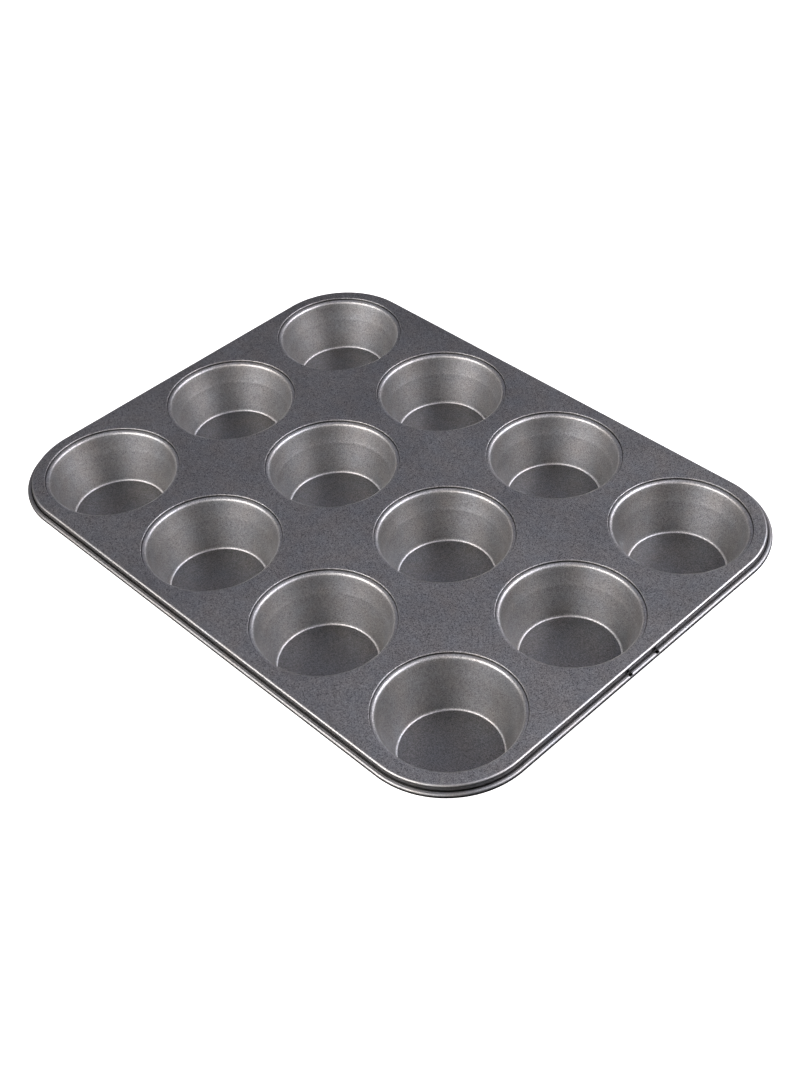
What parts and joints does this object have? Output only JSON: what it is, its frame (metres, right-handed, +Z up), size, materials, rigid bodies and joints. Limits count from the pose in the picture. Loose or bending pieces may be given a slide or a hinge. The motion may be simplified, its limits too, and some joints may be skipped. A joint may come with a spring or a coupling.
{
  "type": "muffin tin",
  "caption": "Rectangular muffin tin with a grid of tapered round cups in stepped mouths, a thin flat deck, rounded corners and a curled wire-stiffened edge.",
  "frame": {"origin": "middle of the cup grid on the plane the cup bottoms stand on", "axes": "+X along the long side towards the short side with the two vents in its bead, +Y along the short side, +Z up out of the cups"},
  "size_m": [0.353, 0.2684, 0.0302],
  "materials": {
    "deck_coating": "cool dark grey satin non-stick coating with a fine metallic grain, over steel sheet",
    "cup_coating": "slightly warmer and glossier grey non-stick coating with a fine metallic grain and faint draw rings, over steel sheet",
    "wire_steel": "plain drawn steel wire, hidden in the curl"
  },
  "bodies": {
    "root": {"deck": "deck_coating", "rim": "deck_coating", "rim_wire": "wire_steel", "cup_a1": "cup_coating", "cup_a2": "cup_coating", "cup_a3": "cup_coating", "cup_a4": "cup_coating", "cup_b1": "cup_coating", "cup_b2": "cup_coating", "cup_b3": "cup_coating", "cup_b4": "cup_coating", "cup_c1": "cup_coating", "cup_c2": "cup_coating", "cup_c3": "cup_coating", "cup_c4": "cup_coating"}
  },
  "joints": []
}
